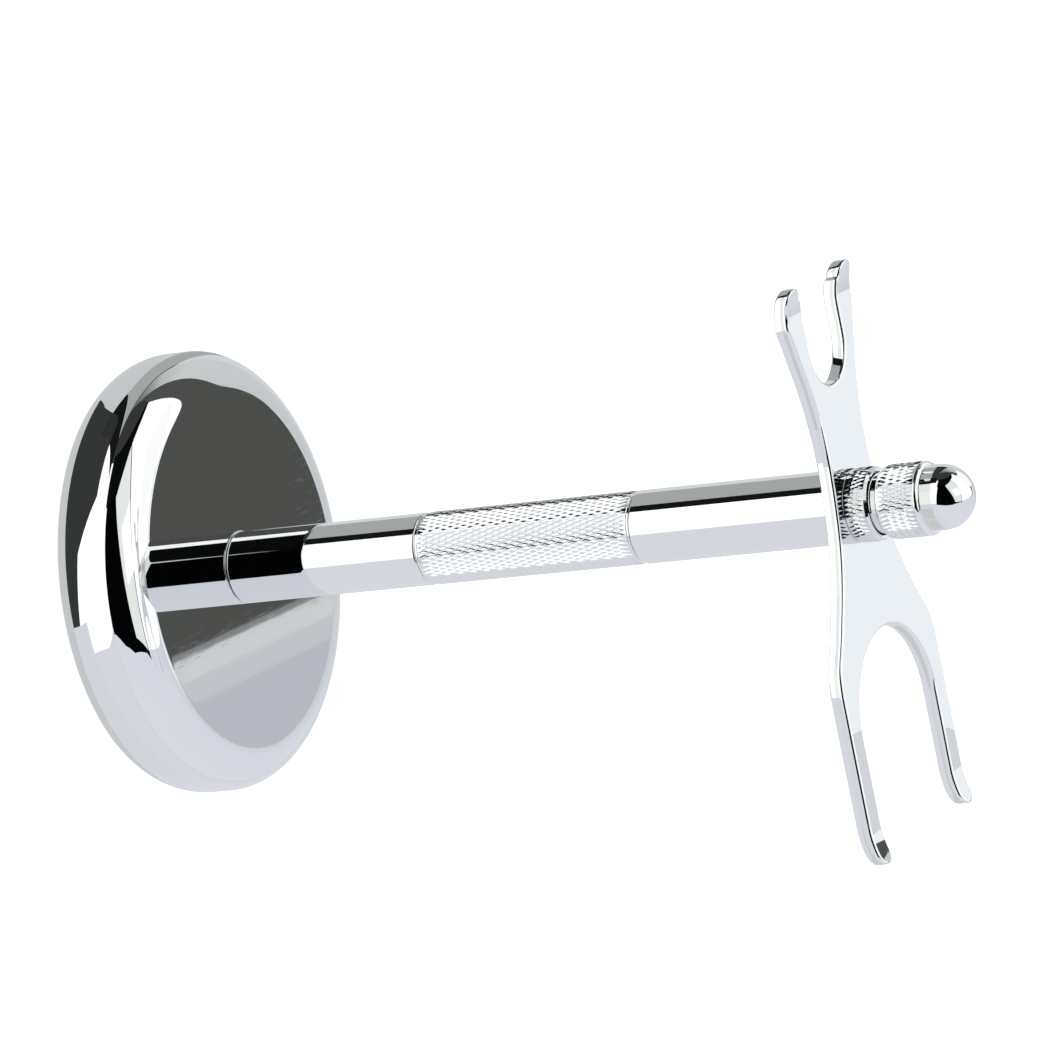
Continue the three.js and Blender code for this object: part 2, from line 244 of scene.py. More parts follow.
def knurl(bm, radius, bottom, top):
    """A band of diamond knurling: pyramids with small flat crests, between crossing helical grooves.

    Returns the plain rings at its two ends.
    """
    columns = KNURL_COLUMNS
    rows = max(2, round(2 * (top - bottom) / KNURL_LENGTH))
    step = 2 * math.pi / columns
    rise = (top - bottom) / rows

    def point(column, row, r):
        angle = column * step
        return bm.verts.new((r * math.cos(angle), r * math.sin(angle), bottom + row * rise))

    floor = radius - KNURL_DEPTH
    grid = {}
    for row in range(rows + 1):
        at_end = row in (0, rows)
        for column in range(columns):
            if at_end or (column + row) % 2 == 0:
                grid[column, row] = point(column, row, floor)
    for row in range(1, rows):
        for column in range(columns):
            if (column + row) % 2 == 0:
                continue
            corners = [grid[(column - 1) % columns, row], grid[column, row - 1],
                       grid[(column + 1) % columns, row], grid[column, row + 1]]
            crest = [point(column - KNURL_CREST, row, radius), point(column, row - KNURL_CREST, radius),
                     point(column + KNURL_CREST, row, radius), point(column, row + KNURL_CREST, radius)]
            bm.faces.new(crest).smooth = False
            for i in range(4):
                j = (i + 1) % 4
                bm.faces.new((corners[i], corners[j], crest[j], crest[i])).smooth = False
    for row, inner in ((0, 1), (rows, rows - 1)):
        for column in range(columns):
            if (column + row) % 2 == 0:
                continue
            tip = grid[column, inner]
            left, middle = grid[(column - 1) % columns, row], grid[column, row]
            right = grid[(column + 1) % columns, row]
            bm.faces.new((left, middle, tip)).smooth = False
            bm.faces.new((middle, right, tip)).smooth = False
    return [grid[c, 0] for c in range(columns)], [grid[c, rows] for c in range(columns)]


# ---- materials ----
def node(tree, kind, **inputs):
    """A new node with its inputs, or its own properties, set by name."""
    made = tree.nodes.new(kind)
    for key, value in inputs.items():
        name = key.replace("_", " ")
        if name in made.inputs:
            made.inputs[name].default_value = value
        else:
            setattr(made, key, value)
    return made


def new_material(name, metallic, roughness, colour):
    material = bpy.data.materials.new(name)
    material.use_nodes = True
    shader = material.node_tree.nodes["Principled BSDF"]
    shader.inputs["Metallic"].default_value = metallic
    shader.inputs["Roughness"].default_value = roughness
    shader.inputs["Base Color"].default_value = (*colour, 1)
    return material, material.node_tree, shader


def object_place(tree):
    return node(tree, "ShaderNodeTexCoord").outputs["Object"]


def noise(tree, coordinates, scale, detail=2.0):
    texture = node(tree, "ShaderNodeTexNoise", Scale=scale, Detail=detail)
    tree.links.new(coordinates, texture.inputs["Vector"])
    return texture.outputs["Fac"]


def remap(tree, value, low, high, to_low, to_high):
    mapped = node(tree, "ShaderNodeMapRange")
    ends = {"From Min": low, "From Max": high, "To Min": to_low, "To Max": to_high}
    for socket, number in ends.items():
        mapped.inputs[socket].default_value = number
    tree.links.new(value, mapped.inputs["Value"])
    return mapped.outputs["Result"]


def stretched(tree, coordinates, scale):
    """Coordinates that make a pattern finer along the axes with the larger scales."""
    mapping = node(tree, "ShaderNodeMapping")
    mapping.inputs["Scale"].default_value = scale
    tree.links.new(coordinates, mapping.inputs["Vector"])
    return mapping.outputs["Vector"]


def colour_between(tree, factor, low, high):
    ramp = node(tree, "ShaderNodeValToRGB")
    ramp.color_ramp.elements[0].color = (*low, 1)
    ramp.color_ramp.elements[1].color = (*high, 1)
    tree.links.new(factor, ramp.inputs["Fac"])
    return ramp.outputs["Color"]


def combined(tree, operation, first, second):
    """A math node on a socket and either another socket or a number."""
    made = node(tree, "ShaderNodeMath", operation=operation)
    tree.links.new(first, made.inputs[0])
    if isinstance(second, float):
        made.inputs[1].default_value = second
    else:
        tree.links.new(second, made.inputs[1])
    return made.outputs[0]


def bumped(tree, shader, height, distance):
    bump = node(tree, "ShaderNodeBump", Strength=1.0, Distance=distance)
    tree.links.new(height, bump.inputs["Height"])
    tree.links.new(bump.outputs["Normal"], shader.inputs["Normal"])


CLOUD_SCALE = 60.0
WIPE_SCALES = (2600.0, 240.0, 700.0)
RIPPLE_SCALE = 170.0
DUST_SCALE = 420.0
SPECK_SIZE = 0.06
SPECK_ROUGHNESS = 0.55
SPECK_METALLIC = 0.5


def chrome(name, low, high, roughness=(0.012, 0.05), ripple=0.0004 * MM, specks=0.0):
    """Chrome plate: slow ripples from polishing, wiping marks in the gloss, and a few specks of dust.

    low and high are the ends of its colour, and specks is the share of places that hold a speck.
    """
    material, tree, shader = new_material(name, 1.0, roughness[0], high)
    place = object_place(tree)
    cloud = noise(tree, place, CLOUD_SCALE, 4.0)
    colour = colour_between(tree, cloud, low, high)
    wipes = noise(tree, stretched(tree, place, WIPE_SCALES), 1.0, 3.0)
    gloss = remap(tree, wipes, 0.55, 0.8, *roughness)
    bumped(tree, shader, noise(tree, place, RIPPLE_SCALE, 1.0), ripple)
    if specks:
        dust = node(tree, "ShaderNodeTexVoronoi", Scale=DUST_SCALE)
        tree.links.new(place, dust.inputs["Vector"])
        chance = node(tree, "ShaderNodeSeparateColor")
        tree.links.new(dust.outputs["Color"], chance.inputs["Color"])
        size = remap(tree, chance.outputs["Red"], 1 - specks, 1.0, 0.0, SPECK_SIZE)
        speck = combined(tree, "LESS_THAN", dust.outputs["Distance"], size)
        gloss = combined(tree, "ADD", gloss, combined(tree, "MULTIPLY", speck, SPECK_ROUGHNESS))
        tree.links.new(remap(tree, speck, 0.0, 1.0, 1.0, SPECK_METALLIC), shader.inputs["Metallic"])
    tree.links.new(colour, shader.inputs["Base Color"])
    tree.links.new(gloss, shader.inputs["Roughness"])
    return material


def steel(name):
    """Plain turned steel, with tool marks round the axis."""
    material, tree, shader = new_material(name, 1.0, 0.3, (0.55, 0.55, 0.56))
    place = object_place(tree)
    marks = noise(tree, stretched(tree, place, (90.0, 90.0, 9000.0)), 1.0, 3.0)
    colour = colour_between(tree, marks, (0.46, 0.46, 0.47), (0.66, 0.66, 0.67))
    tree.links.new(colour, shader.inputs["Base Color"])
    tree.links.new(remap(tree, marks, 0.3, 0.7, 0.22, 0.4), shader.inputs["Roughness"])
    bumped(tree, shader, marks, 0.004 * MM)
    return material


def cast_iron(name):
    """A raw casting, painted dark, with a grainy skin."""
    material, tree, shader = new_material(name, 0.6, 0.7, (0.1, 0.1, 0.105))
    place = object_place(tree)
    grain = noise(tree, place, 1800.0, 5.0)
    colour = colour_between(tree, grain, (0.06, 0.06, 0.062), (0.16, 0.16, 0.165))
    tree.links.new(colour, shader.inputs["Base Color"])
    tree.links.new(remap(tree, grain, 0.3, 0.7, 0.6, 0.85), shader.inputs["Roughness"])
    bumped(tree, shader, grain, 0.08 * MM)
    return material


def foam_rubber(name):
    """Black cellular rubber with a fine open skin."""
    material, tree, shader = new_material(name, 0.0, 0.85, (0.012, 0.012, 0.013))
    place = object_place(tree)
    cells = node(tree, "ShaderNodeTexVoronoi", Scale=2600.0)
    tree.links.new(place, cells.inputs["Vector"])
    distance = cells.outputs["Distance"]
    colour = colour_between(tree, distance, (0.006, 0.006, 0.006), (0.03, 0.03, 0.032))
    tree.links.new(colour, shader.inputs["Base Color"])
    tree.links.new(remap(tree, distance, 0.0, 0.8, 0.75, 0.95), shader.inputs["Roughness"])
    bumped(tree, shader, distance, 0.08 * MM)
    return material


def nylon(name):
    """Natural nylon, slightly waxy, with moulding flow in its colour."""
    material, tree, shader = new_material(name, 0.0, 0.5, (0.8, 0.78, 0.72))
    place = object_place(tree)
    flow = noise(tree, stretched(tree, place, (300.0, 300.0, 1200.0)), 1.0, 3.0)
    colour = colour_between(tree, flow, (0.7, 0.68, 0.62), (0.84, 0.82, 0.77))
    tree.links.new(colour, shader.inputs["Base Color"])
    tree.links.new(remap(tree, flow, 0.3, 0.7, 0.42, 0.58), shader.inputs["Roughness"])
    return material


BRIGHT = ((0.84, 0.85, 0.86), (0.87, 0.88, 0.885))
MATERIALS = {
    "base_chrome": chrome("base_chrome", *BRIGHT, specks=0.03),
    "post_chrome": chrome("post_chrome", *BRIGHT, ripple=0.0008 * MM),
    "knurled_chrome": chrome("knurled_chrome", (0.8, 0.81, 0.82), (0.88, 0.885, 0.89), (0.08, 0.2)),
    "plate_chrome": chrome("plate_chrome", (0.85, 0.86, 0.87), (0.88, 0.89, 0.9)),
    "finial_chrome": chrome("finial_chrome", *BRIGHT),
    "steel": steel("steel"),
    "ballast_iron": cast_iron("ballast_iron"),
    "pad_rubber": foam_rubber("pad_rubber"),
    "washer_nylon": nylon("washer_nylon"),
}


# ---- base ----
def shell_curve(wall, steps):
    """Outer curve of the base from its lower edge to the flat top, moved inwards by wall."""
    lowest = math.degrees(math.asin((BASE_BOTTOM - TUCK_HEIGHT) / TUCK_RADIUS))
    tuck = arc((BASE_RADIUS - TUCK_RADIUS, TUCK_HEIGHT), (TUCK_RADIUS - wall,) * 2, lowest, 0, steps)
    tuck[0] = (tuck[0][0], BASE_BOTTOM)
    shoulder_radii = (BASE_RADIUS - FLAT_RADIUS - wall, SHOULDER_DROP - wall)
    shoulder = arc((FLAT_RADIUS, BASE_TOP - SHOULDER_DROP), shoulder_radii, 0, 90, 2 * steps)
    return tuck + shoulder


def make_base():
    bm = bmesh.new()
    outer = shell_curve(0, 24)
    inner = shell_curve(SHELL_WALL, 8)[::-1]
    hole = [(FLAT_RADIUS - BASE_GUARD, BASE_TOP), (POST_RADIUS + BASE_GUARD, BASE_TOP),
            (SCREW_HOLE + BASE_GUARD, BASE_TOP), (SCREW_HOLE, BASE_TOP - BASE_GUARD / 2),
            (SCREW_HOLE, BASE_TOP - SHELL_WALL)]
    turn(bm, outer + hole + inner, BASE_COLUMNS, True)
    finish_mesh("base_cover", bm, MATERIALS["base_chrome"], "stand", ["base_shell"])


def make_pad():
    bm = bmesh.new()
    radius, top = PAD_HIGH.x, PAD_HIGH.z
    profile = rounded([(0, 0), (radius, 0), (radius, top), (0, top)], PAD_EDGE)
    turn(bm, profile, PAD_COLUMNS, False)
    finish_mesh("base_foot_pad", bm, MATERIALS["pad_rubber"], "stand", ["base_pad"])


# ---- post ----
def make_tube(name, low, high, stands_for):
    bm = bmesh.new()
    corners = [(POST_BORE, low), (POST_RADIUS, low), (POST_RADIUS, high), (POST_BORE, high)]
    turn(bm, rounded(corners, POST_EDGE), POST_COLUMNS, True)
    finish_mesh(name, bm, MATERIALS["post_chrome"], "stand", [stands_for])


def make_grip():
    bm = bmesh.new()
    low, high = GRIP_LOW.z, GRIP_HIGH.z
    groove = POST_RADIUS - GRIP_GROOVE
    lower = [(groove, low), (groove, low + GRIP_GROOVE_WIDTH),
             (POST_RADIUS - GRIP_LAND, low + GRIP_GROOVE_WIDTH + GRIP_LAND_RISE)]
    upper = [(r, low + high - z) for r, z in lower[::-1]]
    knurl_bottom = lower[-1][1] + GRIP_KNURL_GAP
    knurl_top = upper[0][1] - GRIP_KNURL_GAP
    first, last = turn(bm, lower, KNURL_COLUMNS, False)
    knurl_first, knurl_last = knurl(bm, POST_RADIUS, knurl_bottom, knurl_top)
    bridge(bm, last, knurl_first)
    upper_first, upper_last = turn(bm, upper, KNURL_COLUMNS, False)
    bridge(bm, knurl_last, upper_first)
    bore_low, bore_high = turn(bm, [(GRIP_BORE, low), (GRIP_BORE, high)], KNURL_COLUMNS, False)
    bridge(bm, bore_low, first)
    bridge(bm, upper_last, bore_high)
    finish_mesh("grip_knurled", bm, MATERIALS["knurled_chrome"], "stand",
                ["grip_sleeve"])


def make_stud():
    """The stud with a real helical thread, which shows when the collar is lifted."""
    bm = bmesh.new()
    radius = STUD_HIGH.x
    bottom, top = STUD_LOW.z, STUD_HIGH.z
    steps = round((top - bottom) / THREAD_PITCH * THREAD_ROWS_PER_PITCH)
    rings = []
    for row in range(steps + 1):
        z = bottom + (top - bottom) * row / steps
        end_chamfer = max(0.0, THREAD_DEPTH - (z - bottom), THREAD_DEPTH - (top - z))
        line = []
        for c in range(THREAD_COLUMNS):
            turn_share = c / THREAD_COLUMNS
            phase = (z / THREAD_PITCH - turn_share) % 1.0
            # A V thread whose crest and root are cut flat.
            ridge = min(1.0, max(0.0, 1.25 * (1 - abs(2 * phase - 1)) - 0.1))
            r = min(radius - THREAD_DEPTH * (1 - ridge), radius - end_chamfer)
            line.append(bm.verts.new((r * math.cos(2 * math.pi * turn_share),
                                      r * math.sin(2 * math.pi * turn_share), z)))
        rings.append(line)
    for low, high in zip(rings, rings[1:]):
        bridge(bm, low, high)
    bm.faces.new(rings[0])
    bm.faces.new(rings[-1])
    finish_mesh("stud_threaded", bm, MATERIALS["steel"], "stand", ["fork_stud"], crease=60)


# ---- fork plate ----
def catmull_rom(b, s, e, a, t):
    """The value at t between s and e, where b comes before them and a comes after."""
    linear = (e - b) * t
    square = (2 * b - 5 * s + 4 * e - a) * t ** 2
    cubic = (3 * s - b - 3 * e + a) * t ** 3
    return 0.5 * (2 * s + linear + square + cubic)


def spline(points, per_span):
    """A uniform Catmull-Rom curve through the points."""
    padded = [points[0], *points, points[-1]]
    made = []
    for before, start, end, after in zip(padded, padded[1:], padded[2:], padded[3:]):
        for i in range(per_span):
            t = i / per_span
            made.append(tuple(catmull_rom(*values, t) for values in zip(before, start, end, after)))
    return [*made, points[-1]]


def fork_edge():
    """One long edge of the plate, on the +Y side, from the brush slot round to the razor slot."""
    brush_centre = BRUSH_SLOT_END + BRUSH_SLOT_RADIUS
    razor_centre = RAZOR_SLOT_END - RAZOR_SLOT_RADIUS
    tip_radius = (BRUSH_HALF_WIDTH - BRUSH_SLOT_RADIUS) / 2
    tip_centre = (BRUSH_TIP - tip_radius, BRUSH_SLOT_RADIUS + tip_radius)
    razor_bend = RAZOR_TIP + TIP_LENGTH
    corner = RAZOR_TIP_CORNER
    mouth = RAZOR_SLOT_RADIUS + RAZOR_TIP_FLARE
    brush_slot = arc((brush_centre, 0), (BRUSH_SLOT_RADIUS,) * 2, 180, 90, 36)
    brush_tip = arc(tip_centre, (tip_radius,) * 2, -90, 90, 20)
    flank = spline([(x * MM, y * MM) for x, y in FLANK], 8)
    outer_corner = arc((RAZOR_TIP + corner, RAZOR_HALF_WIDTH - corner), (corner,) * 2, 90, 180, 7)
    inner_corner = arc((RAZOR_TIP + corner, mouth + corner), (corner,) * 2, 180, 270, 7)
    inner_line = [(razor_bend - TIP_LENGTH * t, RAZOR_SLOT_RADIUS + RAZOR_TIP_FLARE * t * t)
                  for t in (0.6, 0.4, 0.2)]
    razor_slot = arc((razor_centre, 0), (RAZOR_SLOT_RADIUS,) * 2, 90, 0, 24)
    return [*brush_slot, *brush_tip, *flank, *outer_corner, *inner_corner, *inner_line,
            (razor_bend, RAZOR_SLOT_RADIUS), *razor_slot]


def outline_area(loop):
    """Twice the area inside the closed outline, which is negative where it runs clockwise."""
    return sum(a[0] * b[1] - b[0] * a[1] for a, b in zip(loop, loop[1:] + loop[:1]))


def offset_loop(loop, distance):
    """The closed outline moved inwards, to its left, by distance."""
    least_cosine = 0.5  # so that a sharp corner isn't thrown far away
    moved = []
    count = len(loop)
    for i, point in enumerate(loop):
        before = Vector(loop[i - 1])
        after = Vector(loop[(i + 1) % count])
        here = Vector(point)
        first = (here - before).normalized()
        second = (after - here).normalized()
        along = (first + second).normalized()
        inward = Vector((-along.y, along.x))
        stretch = 1 / max(least_cosine, along.dot(first))
        moved.append(here + inward * distance * stretch)
    return moved


def make_fork():
    """The plate, cut out flat with rounded edges, then curled up at its four tips."""
    bm = bmesh.new()
    edge = fork_edge()
    outline = edge + [(x, -y) for x, y in edge[-2:0:-1]]
    smallest_gap = 0.02 * MM
    spaced = [p for i, p in enumerate(outline)
              if (Vector(p) - Vector(outline[i - 1])).length > smallest_gap]
    if outline_area(spaced) < 0:
        spaced.reverse()
    hole = arc((0, 0), (-SCREW_HOLE, SCREW_HOLE), 0, 360, 48)[:-1]
    bottom, top = PLATE_LOW.z, PLATE_TOP
    edge_steps = 4
    levels = []
    for i in range(edge_steps + 1):
        angle = math.radians(90 * i / edge_steps)
        levels.append((PLATE_EDGE * (1 - math.sin(angle)), bottom + PLATE_EDGE * (1 - math.cos(angle))))
    levels += [(inset, bottom + top - z) for inset, z in levels[::-1]]
    caps = {bottom: [], top: []}
    for loop in (spaced, hole):
        rings = [[bm.verts.new((*p, z)) for p in offset_loop(loop, inset)] for inset, z in levels]
        for low, high in zip(rings, rings[1:]):
            bridge(bm, low, high)
        caps[bottom].append(rings[0])
        caps[top].append(rings[-1])
    for rings in caps.values():
        edges = [bm.edges.get((line[i - 1], line[i])) for line in rings for i in range(len(line))]
        made = bmesh.ops.triangle_fill(bm, use_beauty=True, use_dissolve=False, edges=edges)
        for face in made["geom"]:
            if isinstance(face, bmesh.types.BMFace):
                face.smooth = True
        for edge in edges:
            edge.smooth = False
    bends = (BRUSH_TIP - TIP_LENGTH, RAZOR_TIP + TIP_LENGTH)
    cuts = 14
    for start, sign in zip(bends, (1, -1)):
        for i in range(cuts):
            x = start + sign * TIP_LENGTH * i / cuts
            everything = [*bm.verts, *bm.edges, *bm.faces]
            bmesh.ops.bisect_plane(bm, geom=everything, dist=MERGE_DISTANCE, plane_co=(x, 0, 0),
                                   plane_no=(1, 0, 0))
    for vertex in bm.verts:
        past = max(vertex.co.x - bends[0], bends[1] - vertex.co.x, 0) / TIP_LENGTH
        vertex.co.z += TIP_RISE * past ** 2
    finish_mesh("fork_polished", bm, MATERIALS["plate_chrome"], "fork", ["fork_plate"],
                weigh=False)


# ---- clamp ----
def make_collar():
    bm = bmesh.new()
    low, high = COLLAR_LOW.z, COLLAR_HIGH.z
    top_edge = [(POST_RADIUS - COLLAR_TOP_LAND, high - COLLAR_CHAMFER),
                (POST_RADIUS - COLLAR_CHAMFER, high),
                (COLLAR_COUNTERBORE + COLLAR_BORE_CHAMFER, high)]
    counterbore = [(COLLAR_COUNTERBORE, high - COLLAR_BORE_CHAMFER), (COLLAR_COUNTERBORE, CLIP_TOP),
                   (COLLAR_GROOVE, CLIP_TOP), (COLLAR_GROOVE, CLIP_BOTTOM),
                   (COLLAR_COUNTERBORE, CLIP_BOTTOM), (COLLAR_COUNTERBORE, COLLAR_SEAT)]
    bore = [(SCREW_HOLE, COLLAR_SEAT), (SCREW_HOLE, low)]
    foot = (POST_RADIUS - KNURL_DEPTH - COLLAR_KNURL_GAP, low)
    first, last = turn(bm, [*top_edge, *counterbore, *bore, foot], KNURL_COLUMNS, False)
    knurl_low, knurl_high = knurl(bm, POST_RADIUS, low + COLLAR_KNURL_GAP,
                                  high - COLLAR_CHAMFER - COLLAR_KNURL_TOP_GAP)
    bridge(bm, last, knurl_low)
    bridge(bm, knurl_high, first)
    finish_mesh("collar_knurled", bm, MATERIALS["knurled_chrome"], "collar",
                ["clamp_collar"])


def make_finial():
    bm = bmesh.new()
    neck_bottom = FINIAL_LOW.z
    inner = [(0, DRILL_POINT), (NUT_BORE, DRILL_SHOULDER), (NUT_BORE, neck_bottom),
             (NECK_RADIUS, neck_bottom), (NECK_RADIUS, CLIP_BOTTOM), (NECK_GROOVE, CLIP_BOTTOM),
             (NECK_GROOVE, CLIP_TOP), (NECK_RADIUS, CLIP_TOP)]
    neck_corner = fillet((NECK_RADIUS, neck_bottom), (NECK_RADIUS, NUT_BOTTOM),
                         (POST_RADIUS, NUT_BOTTOM), NECK_FILLET)
    chamfer = [(POST_RADIUS - NUT_CHAMFER_START, NUT_BOTTOM),
               (POST_RADIUS - NUT_CHAMFER_END, NUT_BOTTOM + NUT_CHAMFER)]
    step = POST_RADIUS - NOSE_RADIUS
    land = (POST_RADIUS - NUT_TOP_LAND, NUT_TOP - NUT_TOP_LAND_DROP)
    shoulder = arc((NOSE_RADIUS, SHOULDER_TOP - step), (step, step), 0, 85, 12)
    dome = arc((0, DOME_BOTTOM), (NOSE_RADIUS,) * 2, 0, 90, 28)
    dome[-1] = (0, dome[-1][1])
    _, lower_last = turn(bm, inner + neck_corner + chamfer, KNURL_COLUMNS, False)
    knurl_low, knurl_high = knurl(bm, POST_RADIUS, NUT_BOTTOM + NUT_KNURL_LOW_GAP,
                                  NUT_TOP - NUT_KNURL_HIGH_GAP)
    upper = [land, *shoulder, (NOSE_RADIUS, SHOULDER_TOP), *dome]
    upper_first, _ = turn(bm, upper, KNURL_COLUMNS, False)
    bridge(bm, lower_last, knurl_low)
    bridge(bm, knurl_high, upper_first)
    finish_mesh("finial_domed", bm, MATERIALS["finial_chrome"], "finial",
                ["finial_nut"])


make_base()
make_pad()
make_tube("post_lower_bright", LOWER_LOW.z, LOWER_HIGH.z, "post_lower_tube")
make_tube("post_upper_bright", UPPER_LOW.z, UPPER_HIGH.z, "post_upper_tube")
make_grip()
make_stud()
make_fork()
make_collar()
make_finial()

# The hidden pieces keep their CAD shapes and take the material of their slot.
for part in frame["record"]["subparts"]:
    cad_object = frame["nodes"][part["node"]]
    for slot in cad_object.material_slots:
        slot.material = MATERIALS[part["material_slot"]]

# ---- camera ----
VIEW_AZIMUTH = math.radians(-12.5)
VIEW_ELEVATION = math.radians(28.22)
VIEW_ROLL = math.radians(84.17)  # the stand lies on its side in the picture
VIEW_DISTANCE = 1.2
VIEW_HEIGHT = 68.67 * MM
VIEW_OFFSET = -2.28 * MM
LENS = 252.6

SIDEWAYS = Vector((math.cos(VIEW_AZIMUTH), math.sin(VIEW_AZIMUTH), 0))
TOWARDS = Vector((math.sin(VIEW_AZIMUTH), -math.cos(VIEW_AZIMUTH), 0))
UP = Vector((0, 0, 1))

camera = bpy.data.objects.new("camera", bpy.data.cameras.new("camera"))
scene.collection.objects.link(camera)
scene.camera = camera
camera.data.sensor_width = 36
camera.data.lens = LENS
camera.data.clip_start = 0.1
camera.data.clip_end = 50
eye_direction = TOWARDS * math.cos(VIEW_ELEVATION) + UP * math.sin(VIEW_ELEVATION)
eye = VIEW_DISTANCE * eye_direction + UP * VIEW_HEIGHT
target = SIDEWAYS * VIEW_OFFSET + UP * VIEW_HEIGHT
looking = (target - eye).normalized()
upright = looking.to_track_quat("-Z", "Y").to_matrix().to_4x4()
camera.matrix_world = Matrix.Translation(eye) @ upright @ Matrix.Rotation(VIEW_ROLL, 4, "Z")

# ---- stage: floor, light panels and dark flags ----
CHROME_SHADE = 0.86  # how much of the light that falls on it the chrome gives back
CARD_STEPS = 10
FLOOR_SIZE = 6.0
FLOOR_DROP = 0.05 * MM  # the floor's depth under the stand
FLOOR_CARD_HEIGHT = 0.1 * MM
FLOOR_CARD_STEP = 3  # degrees
FLOOR_SHADE = 0.6
FLOOR_GLOW = 0.86


def direction(side, tilt):
    """A direction from the stand, in degrees.

    side is the angle to its right as the camera sees it, and tilt goes from the horizon behind it (0)
    over the top (90) to the horizon behind the camera (180).
    """
    s, t = math.radians(side), math.radians(tilt)
    away = -TOWARDS
    upwards = away * (math.cos(s) * math.cos(t)) + UP * (math.cos(s) * math.sin(t))
    return SIDEWAYS * math.sin(s) + upwards


def glow(name, level):
    """Plain light of one colour; level is the shade at which a chrome mirror shows it."""
    material = bpy.data.materials.new(name)
    material.use_nodes = True
    tree = material.node_tree
    tree.nodes.clear()
    emission = node(tree, "ShaderNodeEmission", Strength=1.0)
    emission.inputs["Color"].default_value = (*(shade_to_light(v) for v in level), 1)
    output = node(tree, "ShaderNodeOutputMaterial")
    tree.links.new(emission.outputs[0], output.inputs["Surface"])
    return material


def shade_to_light(value):
    """Light that chrome shows as this shade of the picture, from 0 to 1."""
    linear = value / 12.92 if value <= 0.04045 else ((value + 0.055) / 1.055) ** 2.4
    return linear / CHROME_SHADE


def glowing_stage(name, points, faces, level):
    """A glowing card that only reflections see."""
    mesh = bpy.data.meshes.new(name)
    mesh.from_pydata(points, [], faces)
    mesh.materials.append(glow(name, level))
    made = bpy.data.objects.new(name, mesh)
    scene.collection.objects.link(made)
    made.visible_camera = False
    made.visible_shadow = False
    return made


def card(name, corners, level, distance, height=0.0):
    """A card between four corners, in order round it.

    A corner is its (side, tilt) as seen from a height on the post, and lies at a distance from there.
    """
    steps = CARD_STEPS
    a, b, c, d = (Vector(p) for p in corners)
    points = []
    for i in range(steps + 1):
        for j in range(steps + 1):
            u, v = i / steps, j / steps
            place = (a * (1 - u) + b * u) * (1 - v) + (d * (1 - u) + c * u) * v
            points.append(direction(place.x, place.y) * distance + UP * height)
    row = steps + 1
    faces = [(i * row + j, (i + 1) * row + j, (i + 1) * row + j + 1, i * row + j + 1)
             for i in range(steps) for j in range(steps)]
    glowing_stage(name, points, faces, level)


def floor_card(name, start, end, inner, outer, level, last_outer=None):
    """A flat sector on the floor, between two angles round from the camera's side.

    Angles are positive to the camera's left. The outer radius may change evenly from outer at the
    start to last_outer at the end.
    """
    steps = max(4, round(abs(end - start) / FLOOR_CARD_STEP))
    lift = UP * FLOOR_CARD_HEIGHT
    points = []
    for i in range(steps + 1):
        angle = math.radians(start + (end - start) * i / steps)
        out = TOWARDS * math.cos(angle) - SIDEWAYS * math.sin(angle)
        radius = outer + ((last_outer or outer) - outer) * i / steps
        points += [out * inner + lift, out * radius + lift]
    faces = [(2 * i, 2 * i + 1, 2 * i + 3, 2 * i + 2) for i in range(steps)]
    made = glowing_stage(name, points, faces, level)
    made.visible_diffuse = False


def make_floor():
    mesh = bpy.data.meshes.new("floor")
    size = FLOOR_SIZE
    corners = [(-size, -size), (size, -size), (size, size), (-size, size)]
    mesh.from_pydata([(x, y, -FLOOR_DROP) for x, y in corners], [], [(0, 1, 2, 3)])
    material, _, shader = new_material("floor", 0.0, 0.9, (FLOOR_SHADE,) * 3)
    shader.inputs["Specular IOR Level"].default_value = 0.0
    shader.inputs["Emission Color"].default_value = (1, 1, 1, 1)
    shader.inputs["Emission Strength"].default_value = FLOOR_GLOW
    mesh.materials.append(material)
    made = bpy.data.objects.new("floor", mesh)
    scene.collection.objects.link(made)


def make_surroundings():
    """Pale walls, darker on the left and bluer on the right. The camera itself sees plain white."""
    world = bpy.data.worlds.new("studio")
    scene.world = world
    world.use_nodes = True
    tree = world.node_tree
    tree.nodes.clear()
    place = node(tree, "ShaderNodeTexCoord").outputs["Generated"]
    sideways = node(tree, "ShaderNodeVectorMath", operation="DOT_PRODUCT")
    tree.links.new(place, sideways.inputs[0])
    sideways.inputs[1].default_value = SIDEWAYS
    share = remap(tree, sideways.outputs["Value"], -1.0, 1.0, 0.0, 1.0)
    ramp = node(tree, "ShaderNodeValToRGB")
    stops = ((0.0, (0.42, 0.43, 0.42)), (0.06, (0.7, 0.72, 0.71)), (0.15, (0.78, 0.79, 0.79)),
             (0.48, (0.76, 0.775, 0.785)), (0.6, (0.83, 0.84, 0.875)), (1.0, (0.845, 0.85, 0.875)))
    elements = ramp.color_ramp.elements
    while len(elements) < len(stops):
        elements.new(0.5)
    for element, (position, level) in zip(elements, stops):
        element.position = position
        element.color = (*(shade_to_light(v) for v in level), 1)
    tree.links.new(share, ramp.inputs["Fac"])
    walls = node(tree, "ShaderNodeBackground", Strength=1.0)
    tree.links.new(ramp.outputs["Color"], walls.inputs["Color"])
    plain = node(tree, "ShaderNodeBackground", Strength=1.0)
    plain.inputs["Color"].default_value = (1, 1, 1, 1)
    path = node(tree, "ShaderNodeLightPath")
    mix = node(tree, "ShaderNodeMixShader")
    tree.links.new(path.outputs["Is Camera Ray"], mix.inputs["Fac"])
    tree.links.new(walls.outputs[0], mix.inputs[1])
    tree.links.new(plain.outputs[0], mix.inputs[2])
    output = node(tree, "ShaderNodeOutputWorld")
    tree.links.new(mix.outputs[0], output.inputs["Surface"])


